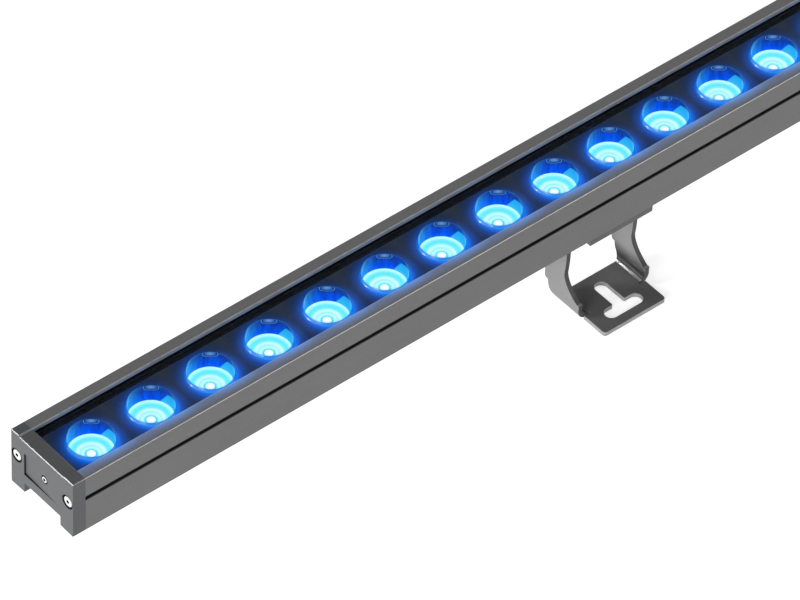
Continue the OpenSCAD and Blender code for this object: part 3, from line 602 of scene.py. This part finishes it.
finishes = {
    "housing": powderCoat("powderCoatedExtrusion", colour("#757575"), spill=0.95),
    "cap": powderCoat("powderCoatedCasting", colour("#5b5c5e")),
    "bracket": powderCoat("powderCoatedSheet", colour("#848484"), roughness=0.38, shade=bracketPaintedReflectionAndShade),
    "hinge": powderCoat("powderCoatedHingePlate", colour("#646464")),
    # painted shade in the side grooves
    "groove": powderCoat("powderCoatPaintedGrooveShade", colour("#787878"), shade=paintedGrooveShade),
    # painted shade in the caps' screw bores, recess walls and the vent plug's hole
    "recessShade": powderCoat("capRecessPaintedShade", colour("#0c0c0c")),
    # painted highlights: paler, shinier edges and bends that also mirror the narrow lamps
    "barEdge": paintedEdgeHighlight("extrusionEdgePaintedHighlight", colour("#d0d0d0"), 0.6),
    "capEdge": paintedEdgeHighlight("castEdgePaintedHighlight", colour("#a0a0a0"), 0.3),
    "sheetEdge": paintedEdgeHighlight("sheetEdgePaintedHighlight", colour("#a4a4a4"), 0.35),
    "bendShine": paintedEdgeHighlight("bendPaintedHighlight", colour("#f0f0f0"), 0.9),
    # painted shade on the bracket arms' front edges
    "armEdge": powderCoat("armEdgePaintedShade", colour("#505050")),
    "steel": turnedSteel("turnedStainlessSteel", colour("#f4f4f2"), 0.3, 0.45),
    # painted shade in the screw heads' sockets
    "socket": turnedSteel("socketPaintedShade", colour("#0a0a0b"), 0.4, 0.6),
    "rubber": siliconeRubber(),
    "nylon": blackNylon(),
    "plate": paintedPlate(),
    "glass": toughenedGlass(),
    "crown": lensClear(),
    "collar": lensCollar(),
    "rim": lensRim(),
    "wall": lensWall(),
    "floor": lensFloor(),
    "board": whiteBoard(),
    "chip": lightChip(),
}
print("materials made:", len(finishes))

# pieces that keep their shape from the CAD, by finish
nodeFinish = {
    "rubber": ("end_gasket_near", "end_gasket_far", "gland_insert", "glass_seals"),
    "nylon": ("gland_body", "gland_nut"),
    "glass": ("cover_glass",),
    "plate": ("lens_plate",),
    "board": ("circuit_board",),
    "chip": ("light_chips",),
    "steel": ("board_screws", "clamp_screws_a", "clamp_screws_b", "slot_nuts_a", "slot_nuts_b",
              "pivot_bolts_a", "pivot_bolts_b", "pivot_washers_a", "pivot_washers_b",
              "pivot_nuts_a", "pivot_nuts_b"),
}
for finish, nodes in nodeFinish.items():
    for node in nodes:
        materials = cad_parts[node].data.materials
        for index in range(len(materials)):
            materials[index] = finishes[finish]
print("finishes given:", sum(len(nodes) for nodes in nodeFinish.values()), "nodes")

# metal parts whose edges the coating rounds over; an edge between the two bright heights is
# given a painted highlight, and the further finishes are those that faceFinish numbers 2 and 3
capCoat = {"body": "bar", "finish": "cap", "edgeFinish": "capEdge", "slot": "cap_metal",
           "radius": 0.4 * mm, "bright": None, "further": ("recessShade",)}
bracketCoat = {"finish": "bracket", "edgeFinish": "sheetEdge", "slot": "bracket_metal",
               "radius": 0.2 * mm, "bright": (-1, 3.2 * mm), "further": ("bendShine", "armEdge")}
hingeCoat = {"finish": "hinge", "edgeFinish": "sheetEdge", "slot": "hinge_metal",
             "radius": 0.3 * mm, "bright": None, "further": ()}
softEdged = {
    "housing": {"body": "bar", "finish": "housing", "edgeFinish": "barEdge", "slot": "bar_metal",
                "radius": 0.25 * mm, "bright": (106.8 * mm, 1), "further": ("groove",)},
    "end_cap_near": capCoat,
    "end_cap_far": capCoat,
    "swivel_bracket_a": {"body": "bracket_a", **bracketCoat},
    "swivel_bracket_b": {"body": "bracket_b", **bracketCoat},
    "hinge_plate_a": {"body": "carriage_a", **hingeCoat},
    "hinge_plate_b": {"body": "carriage_b", **hingeCoat},
}

# where a face takes painted shade and where a painted highlight, by its place
shaded = {
    "barMiddle": 29.6 * mm, "barHalf": 27 * mm, "barTop": 107.5 * mm,
    "skin": 0.1 * mm,  # what lies nearer to an outer face belongs to that face
    "slantHeight": 1.2 * mm, "slantNormal": (0.25, 0.93), "slantDepth": 1.5 * mm,
    "stepHeight": 0.68 * mm,
    "grooveDepth": 2.3 * mm, "grooveHeight": (88 * mm, 97 * mm),
    "boreRadius": 4.7 * mm, "boreAcross": (7.4 * mm, 51.8 * mm), "boreHeight": 90.9 * mm,
    "capFace": 505 * mm, "recessDepth": 1.4 * mm,
    "recessAcross": (10 * mm, 46.5 * mm), "recessHeight": (79 * mm, 98.5 * mm),
    "plateTop": 3.1 * mm,
    # on a bracket's plate, from its middle and from the cross slot, clear of the bends
    "plateSide": 19 * mm, "bendStart": 8 * mm, "plateFront": 6.5 * mm,
}


def faceFinish(node, face):
    # 0 is the piece's own coat, 1 its edges with a painted highlight, 2 and 3 its further finishes
    middle = face.calc_center_bounds()
    normal = face.normal
    if node.startswith("swivel_bracket"):
        # painted highlight on the bend that faces the near end, which also mirrors the bend lamp
        if -0.5 < normal.x < -0.1 and normal.z > 0.5:  # the bend that faces the near end
            return 2
        # painted shade on the arms' front edges
        if normal.y < -0.25 and middle.z > shaded["plateTop"]:  # the arms' front edges
            return 3
        # painted highlight on the base plate's edge faces
        return 1 if abs(normal.z) < 0.2 and middle.z < shaded["plateTop"] / 2 else 0
    low, high = shaded["slantNormal"]
    isSlanting = middle.z > shaded["barTop"] - shaded["slantHeight"] and low < normal.z < high
    if node == "housing":
        depth = shaded["barHalf"] - abs(middle.y - shaded["barMiddle"])
        low, high = shaded["grooveHeight"]
        # painted shade in the side grooves
        if shaded["skin"] < depth < shaded["grooveDepth"] and low < middle.z < high:
            return 2
        # painted highlight on the rounded top edges
        return 1 if isSlanting else 0
    if not node.startswith("end_cap"):
        return 0
    depth = shaded["capFace"] - abs(middle.x)
    # painted shade in the screw bores round the heads
    for across in shaded["boreAcross"]:
        away = math.hypot(middle.y - across, middle.z - shaded["boreHeight"])
        if away < shaded["boreRadius"] and depth > shaded["skin"]:
            return 2
    # painted shade on the recess walls
    low, high = shaded["recessHeight"]
    left, right = shaded["recessAcross"]
    isWall = abs(normal.x) < 0.5 and shaded["skin"] < depth < shaded["recessDepth"]
    if isWall and left < middle.y < right and low < middle.z < high:
        return 2
    # painted highlight on the top step lines and the slanting outer top edges
    isStep = middle.z > shaded["barTop"] - shaded["stepHeight"] and abs(normal.y) > 0.3
    isEnd = isSlanting and abs(normal.x) > 0.45 and depth < shaded["slantDepth"]
    return 1 if isStep or isEnd else 0


sharpAngle = math.radians(32)  # the flatter edges lie on the round forms


def isSharp(edge):
    return len(edge.link_faces) == 2 and edge.calc_face_angle() > sharpAngle


def isKept(edge, finish, radius):
    # a bracket is rounded only round its base plate and slots, clear of the bends
    if not isSharp(edge):
        return False
    if finish != "bracket":
        return edge.calc_length() > 4 * radius
    aways = [abs(abs(v.co.x) - bracketMiddle) for v in edge.verts]
    for vert, away in zip(edge.verts, aways):
        inBend = away > shaded["plateSide"] and vert.co.y > shaded["bendStart"]
        if vert.co.z > shaded["plateTop"] or inBend:
            return False
    return any(v.co.y < shaded["plateFront"] or away < shaded["plateSide"]
               for v, away in zip(edge.verts, aways))


def roundEdges(work, edges, radius):
    made = bmesh.ops.bevel(work, geom=edges, affect="EDGES", offset=radius, segments=2,
                           profile=0.5, material=-1, clamp_overlap=False)
    return made["faces"]


def softEdgedPiece(node, body, finish, edgeFinish, slot, radius, bright, further):
    # the node's own shape with its sharp edges rounded, so that they catch the light
    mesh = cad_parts[node].data.copy()
    mesh.name = node + "_coated"
    work = bmesh.new()
    work.from_mesh(mesh)
    bmesh.ops.remove_doubles(work, verts=work.verts[:], dist=0.002 * mm)
    bmesh.ops.dissolve_limit(work, angle_limit=math.radians(0.4), use_dissolve_boundaries=False,
                             verts=work.verts[:], edges=work.edges[:])
    bmesh.ops.recalc_face_normals(work, faces=work.faces[:])
    for face in work.faces:
        face.material_index = faceFinish(node, face)
    kept = [e for e in work.edges if isKept(e, finish, radius)]
    low, high = bright or (math.inf, math.inf)
    highlighted = [e for e in kept if low < (e.verts[0].co.z + e.verts[1].co.z) / 2 < high]
    if finish == "housing":
        # only the edges along the bar, not those across its ends
        highlighted = [e for e in highlighted
                  if abs(e.verts[0].co.y - e.verts[1].co.y) < shaded["skin"]]
    # these edges take the painted highlight finish
    for face in roundEdges(work, highlighted, radius):
        face.material_index = 1
    rest = [e for e in work.edges if isKept(e, finish, radius)
            and not any(f.material_index == 1 for f in e.link_faces)]
    roundEdges(work, rest, radius)
    for face in work.faces:
        face.smooth = True
    for edge in work.edges:
        edge.smooth = not isSharp(edge)
    mesh.materials.clear()
    for key in (finish, edgeFinish, *further):
        mesh.materials.append(finishes[key])
    work.to_mesh(mesh)
    work.free()
    piece = bpy.data.objects.new(node + "_coated", mesh)
    bpy.context.scene.collection.objects.link(piece)
    even = piece.modifiers.new("evenShading", "WEIGHTED_NORMAL")
    even.keep_sharp = True
    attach(piece, body)
    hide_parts(node)
    print(node, "edges rounded:", len(kept))


for node, settings in softEdged.items():
    softEdgedPiece(node, **settings)
print("coated metal pieces:", len(softEdged))

# turned fittings on the caps, in mm: outlines as radius and depth behind the outer face, places
# across and up, and the radius within which a head is its socket, painted dark as shade
capFittings = {
    "screwPlaces": [(7.4, 90.9), (51.8, 90.9)],
    "ventPlace": (28.0, 90.9),
    "outerFace": 504.8,
    "headFrom": 500,
    "screw": [(0, 1.7), (0.9, 1.7), (1.0, 0.1), (1.15, 0.0), (2.95, 0.0), (3.25, 0.12),
              (3.37, 0.42), (3.37, 3.98), (1.94, 3.98), (1.94, 20.0), (0, 20.0)],
    "screwSocket": 1.1,
    "washer": [(3.44, 0.35), (3.5, 0.22), (4.4, 0.22), (4.46, 0.3), (4.46, 1.4), (3.44, 1.4),
               (3.44, 0.35)],
    "vent": [(0, 1.2), (1.06, 1.2), (1.08, 0.12), (1.12, 0.1), (1.7, 0.1), (1.88, 0.2),
             (1.94, 0.4), (1.94, 1.38), (1.48, 1.38), (1.48, 8.0), (0, 8.0)],
    "ventSocket": 1.07,
    "ventGapShade": [(1.98, 0.32), (2.02, 0.22), (2.18, 0.22), (2.22, 0.32), (2.22, 1.2), (1.98, 1.2),
                 (1.98, 0.32)],
    "steps": 40,
}


def turnedOnCap(points, places, socket=0):
    # spins the outline about the bar's direction and sets a copy at each place, near and far
    work = bmesh.new()
    for across, height, side in places:
        verts = [work.verts.new((d * mm, r * mm, 0)) for r, d in points]
        if points[0] == points[-1]:
            bmesh.ops.delete(work, geom=verts[-1:], context="VERTS")
            verts[-1] = verts[0]
        edges = [work.edges.new(pair) for pair in zip(verts, verts[1:])]
        bmesh.ops.spin(work, geom=list(dict.fromkeys(verts)) + edges, cent=(0, 0, 0),
                       axis=(1, 0, 0), angle=math.tau, steps=capFittings["steps"],
                       use_merge=True)
        for vert in [v for v in work.verts if not v.tag]:
            vert.tag = True
            vert.co.x = side * (capFittings["outerFace"] * mm - vert.co.x)
            vert.co.y += across * mm
            vert.co.z += height * mm
    bmesh.ops.remove_doubles(work, verts=work.verts[:], dist=0.001 * mm)
    bmesh.ops.recalc_face_normals(work, faces=work.faces[:])
    for face in work.faces:
        face.smooth = True
        middle = face.calc_center_bounds()
        away = min(math.hypot(middle.y - a * mm, middle.z - h * mm) for a, h, _ in places)
        # a head's socket takes painted shade
        if away < socket * mm and abs(middle.x) > capFittings["headFrom"] * mm:
            face.material_index = 1
    for edge in work.edges:
        edge.smooth = not isSharp(edge)
    return work


def fittingPiece(name, work, keys, node=None):
    mesh = bpy.data.meshes.new(name)
    for key in keys:
        mesh.materials.append(finishes[key])
    work.to_mesh(mesh)
    work.free()
    piece = bpy.data.objects.new(name, mesh)
    bpy.context.scene.collection.objects.link(piece)
    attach(piece, "bar")
    if node:
        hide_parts(node)


def makeCapFittings():
    ends = [(a, h, side) for a, h in capFittings["screwPlaces"] for side in (-1, 1)]
    vent = [(*capFittings["ventPlace"], -1)]
    screws = turnedOnCap(capFittings["screw"], ends, capFittings["screwSocket"])
    fittingPiece("capScrewHeads", screws, ("steel", "socket"), "cap_screws")
    # black rings in the gaps round the screw heads: painted shade
    gapShade = turnedOnCap(capFittings["washer"], ends)
    fittingPiece("screwGapShadeRings", gapShade, ("rubber",))
    plug = turnedOnCap(capFittings["vent"], vent, capFittings["ventSocket"])
    fittingPiece("ventPlugTurned", plug, ("steel", "recessShade"), "vent_plug")
    # and a black ring round the vent plug: painted shade
    ring = turnedOnCap(capFittings["ventGapShade"], vent)
    fittingPiece("ventGapShadeRing", ring, ("rubber",))


makeCapFittings()
print("cap fittings made")

# lens outlines as radius and height above its foot, in mm, and the heights at which the
# cup's floor ends and the shell's crown and rounded rim start
lens = {
    "foot": 84.9 * mm,
    "shell": [(0, 0.0), (13.0, 0.0), (13.0, 7.9), (15.3, 7.9), (15.3, 9.8), (13.9, 9.8),
              (13.9, 11.4), (13.28, 11.4), (13.28, 15.1), (13.18, 15.42), (12.85, 15.6),
              (0, 15.6)],
    "cup": [(0, 2.35), (2.5, 2.3), (3.05, 2.2), (3.25, 2.05), (3.4, 1.95), (4.6, 2.05), (8.2, 2.3),
            (8.4, 2.5), (11.9, 3.2), (12.1, 3.5), (13.02, 4.1), (13.2, 15.3)],
    "floorTop": 4.11,
    "crownLow": 15.58,
    "rimLow": 15.1,
    "steps": 64,
}


def spunShape(points):
    # turns a radius and height outline round the z axis
    work = bmesh.new()
    verts = [work.verts.new((r * mm, 0, z * mm)) for r, z in points]
    edges = [work.edges.new(pair) for pair in zip(verts, verts[1:])]
    bmesh.ops.spin(work, geom=verts + edges, cent=(0, 0, 0), axis=(0, 0, 1),
                   angle=math.tau, steps=lens["steps"], use_merge=True)
    bmesh.ops.remove_doubles(work, verts=work.verts[:], dist=0.001 * mm)
    bmesh.ops.recalc_face_normals(work, faces=work.faces[:])
    for face in work.faces:
        face.smooth = True
    return work


def lensMesh():
    shell = spunShape(lens["shell"])
    for face in shell.faces:
        middle = face.calc_center_median()
        if middle.z > lens["crownLow"] * mm:
            face.material_index = 0
        elif middle.z > lens["rimLow"] * mm:
            face.material_index = 2
        else:
            face.material_index = 1
    mesh = bpy.data.meshes.new("lens")
    shell.to_mesh(mesh)
    shell.free()

    # the cup is open at the top and faces inwards and up
    cup = spunShape(lens["cup"])
    cup.faces.ensure_lookup_table()
    if min(cup.faces, key=lambda face: face.calc_center_median().to_2d().length).normal.z < 0:
        bmesh.ops.reverse_faces(cup, faces=cup.faces[:])
    for face in cup.faces:
        low = face.calc_center_median().z < lens["floorTop"] * mm
        face.material_index = 4 if low else 3
    cupMesh = bpy.data.meshes.new("cup")
    cup.to_mesh(cupMesh)
    cup.free()
    both = bmesh.new()
    both.from_mesh(mesh)
    both.from_mesh(cupMesh)
    both.to_mesh(mesh)
    both.free()
    for key in ("crown", "collar", "rim", "wall", "floor"):
        mesh.materials.append(finishes[key])
    return mesh


def makeLenses():
    pattern = lensMesh()
    for i in range(lensRow["count"]):
        mesh = pattern.copy()
        place = (lensRow["first"] + i * lensRow["pitch"], lensRow["middle"], lens["foot"])
        mesh.transform(Matrix.Translation(place))
        piece = bpy.data.objects.new(f"lensOptic_{i + 1:02d}", mesh)
        bpy.context.scene.collection.objects.link(piece)
        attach(piece, "bar")
        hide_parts(f"lens_{i + 1:02d}")


makeLenses()
print("lenses made:", lensRow["count"])

# studio: a pale paper floor in an even room, with heights as the share of straight up
studio = {
    "floorSize": 12.0,
    "floorDrop": 0.2 * mm,
    "floorColour": colour("#e4e4e4"),
    "floorLift": 0.7,
    "wallLevel": 0.46, "ceilingLevel": 0.06, "ceilingFrom": 0.9,
    "mirroredFrom": (0.2, 0.6), "mirroredCeiling": 0.01,
}

# each lamp's direction, strength and spread in degrees: a soft key from the near end, and narrow
# lamps that the edges with painted highlights, the housing's side and the brackets' bends mirror
lamps = {
    "key": (Vector((-1.0, -0.42, 0.2)), 0.97, 35),
    "edge": (Vector((-0.7, 0.53, 0.47)), 0.34, 10),
    "front": (Vector((0.4675, -0.704, 0.534)), 0.13, 12),
    "bend": (Vector((0.05, 0.534, 0.843)), 0.08, 8),
}


def makeFloor():
    work = bmesh.new()
    bmesh.ops.create_grid(work, x_segments=1, y_segments=1, size=studio["floorSize"])
    bmesh.ops.translate(work, verts=work.verts[:], vec=(0, 0, -studio["floorDrop"]))
    mesh = bpy.data.meshes.new("studioFloor")
    work.to_mesh(mesh)
    work.free()
    material, tree, surface = newMaterial("paleStudioPaper")
    # the paper's own white, kept for the eye and for what metal and glass mirror
    path = addNode(tree, "ShaderNodeLightPath")
    seen = addNode(tree, "ShaderNodeMath", {"operation": "MAXIMUM"},
                   {0: path.outputs["Is Camera Ray"], 1: path.outputs["Is Glossy Ray"]})
    seen = addNode(tree, "ShaderNodeMath", {"operation": "MAXIMUM"},
                   {0: seen.outputs[0], 1: path.outputs["Is Transmission Ray"]})
    lift = addNode(tree, "ShaderNodeMath", {"operation": "MULTIPLY", 1: studio["floorLift"]},
                   {0: seen.outputs[0]})
    paper = addNode(tree, "ShaderNodeBsdfDiffuse", {"Color": studio["floorColour"]})
    glow = addNode(tree, "ShaderNodeEmission", links={"Strength": lift.outputs[0]})
    both = addNode(tree, "ShaderNodeAddShader", {}, {0: paper.outputs[0], 1: glow.outputs[0]})
    # seen from underneath the floor is clear, so that it never hides the part
    below = addNode(tree, "ShaderNodeNewGeometry").outputs["Backfacing"]
    clear = addNode(tree, "ShaderNodeBsdfTransparent")
    shown = addNode(tree, "ShaderNodeMixShader", {},
                    {0: below, 1: both.outputs[0], 2: clear.outputs[0]})
    tree.links.new(shown.outputs[0], surface)
    mesh.materials.append(material)
    floor = bpy.data.objects.new("studioFloor", mesh)
    bpy.context.scene.collection.objects.link(floor)


def makeLights():
    world = bpy.data.worlds.new("evenRoom")
    bpy.context.scene.world = world
    world.use_nodes = True
    tree = world.node_tree
    tree.nodes.clear()
    aim = addNode(tree, "ShaderNodeTexCoord").outputs["Generated"]
    split = addNode(tree, "ShaderNodeSeparateXYZ", links={0: aim})
    path = addNode(tree, "ShaderNodeLightPath")
    # metal and glass mirror the white backdrop, and overhead the dim ceiling
    low, high = studio["mirroredFrom"]
    backdrop = addNode(tree, "ShaderNodeMapRange",
                       {"interpolation_type": "SMOOTHSTEP", "From Min": low, "From Max": high,
                        "To Min": 1.0, "To Max": studio["mirroredCeiling"]},
                       {"Value": split.outputs["Z"]})
    mirrored = addNode(tree, "ShaderNodeMath", {"operation": "MAXIMUM"},
                       {0: path.outputs["Is Glossy Ray"], 1: path.outputs["Is Transmission Ray"]})
    # the room is dimmer overhead than at the walls
    dim = addNode(tree, "ShaderNodeMapRange",
                  {"From Max": studio["ceilingFrom"], "To Min": studio["wallLevel"],
                   "To Max": studio["ceilingLevel"]}, {"Value": split.outputs["Z"]})
    level = addNode(tree, "ShaderNodeMapRange", {},
                    {"Value": mirrored.outputs[0], "To Min": dim.outputs[0],
                     "To Max": backdrop.outputs[0]})
    level = addNode(tree, "ShaderNodeMapRange", {"To Max": 1.0},
                    {"Value": path.outputs["Is Camera Ray"], "To Min": level.outputs[0]})
    room = addNode(tree, "ShaderNodeBackground", {"Color": (1, 1, 1, 1)},
                   {"Strength": level.outputs[0]})
    addNode(tree, "ShaderNodeOutputWorld", links={"Surface": room.outputs[0]})
    for name, (direction, strength, spread) in lamps.items():
        data = bpy.data.lights.new(name + "Lamp", "SUN")
        data.energy = strength * math.pi
        data.angle = math.radians(spread)
        data.cycles.use_multiple_importance_sampling = False  # no lamp's disc in the cover glass
        lamp = bpy.data.objects.new(name + "Lamp", data)
        lamp.rotation_euler = direction.to_track_quat("Z", "Y").to_euler()
        bpy.context.scene.collection.objects.link(lamp)


makeFloor()
makeLights()
bpy.context.scene.view_settings.view_transform = "Standard"
print("studio made")
